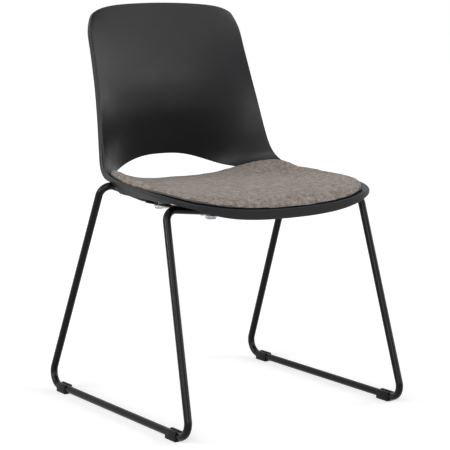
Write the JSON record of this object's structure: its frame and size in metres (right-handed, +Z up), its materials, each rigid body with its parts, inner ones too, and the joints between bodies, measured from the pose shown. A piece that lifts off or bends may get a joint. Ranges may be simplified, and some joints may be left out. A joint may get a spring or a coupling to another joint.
{
  "type": "sled base visitor chair",
  "caption": "Armless visitor chair: moulded one-piece shell with a lumbar opening and an upholstered seat pad, on a bent rod sled base with clip-on floor glides.",
  "frame": {"origin": "on the floor, under the middle of the base", "axes": "+Z up, the sitter faces -Y, +X is the sitter's left-hand side"},
  "size_m": [0.5326, 0.5294, 0.8052],
  "materials": {
    "black_coated_rod": "black satin powder coat",
    "black_shell": "black polypropylene, fine moulded texture",
    "taupe_fabric": "taupe wool-like woven upholstery",
    "seat_foam": "cut polyurethane foam",
    "pad_board": "pressed plastic pad base",
    "zinc_steel": "bright zinc plated",
    "brass": "turned brass",
    "clear_bumper": "clear soft plastic",
    "black_glide": "black polyamide"
  },
  "bodies": {
    "root": {"left_side_rod": "black_coated_rod", "right_side_rod": "black_coated_rod", "front_butt_weld": "black_coated_rod", "rear_butt_weld": "black_coated_rod", "left_mounting_bar": "black_coated_rod", "right_mounting_bar": "black_coated_rod", "shell": "black_shell", "pad_board": "pad_board", "pad_foam": "seat_foam", "pad_cover": "taupe_fabric", "front_left_bumper": "clear_bumper", "front_left_glide": "black_glide", "front_left_insert": "brass", "front_left_washer": "zinc_steel", "front_left_shell_screw": "zinc_steel", "front_left_pad_screw": "zinc_steel", "rear_left_bumper": "clear_bumper", "rear_left_glide": "black_glide", "rear_left_insert": "brass", "rear_left_washer": "zinc_steel", "rear_left_shell_screw": "zinc_steel", "rear_left_pad_screw": "zinc_steel", "front_right_bumper": "clear_bumper", "front_right_glide": "black_glide", "front_right_insert": "brass", "front_right_washer": "zinc_steel", "front_right_shell_screw": "zinc_steel", "front_right_pad_screw": "zinc_steel", "rear_right_bumper": "clear_bumper", "rear_right_glide": "black_glide", "rear_right_insert": "brass", "rear_right_washer": "zinc_steel", "rear_right_shell_screw": "zinc_steel", "rear_right_pad_screw": "zinc_steel"}
  },
  "joints": []
}
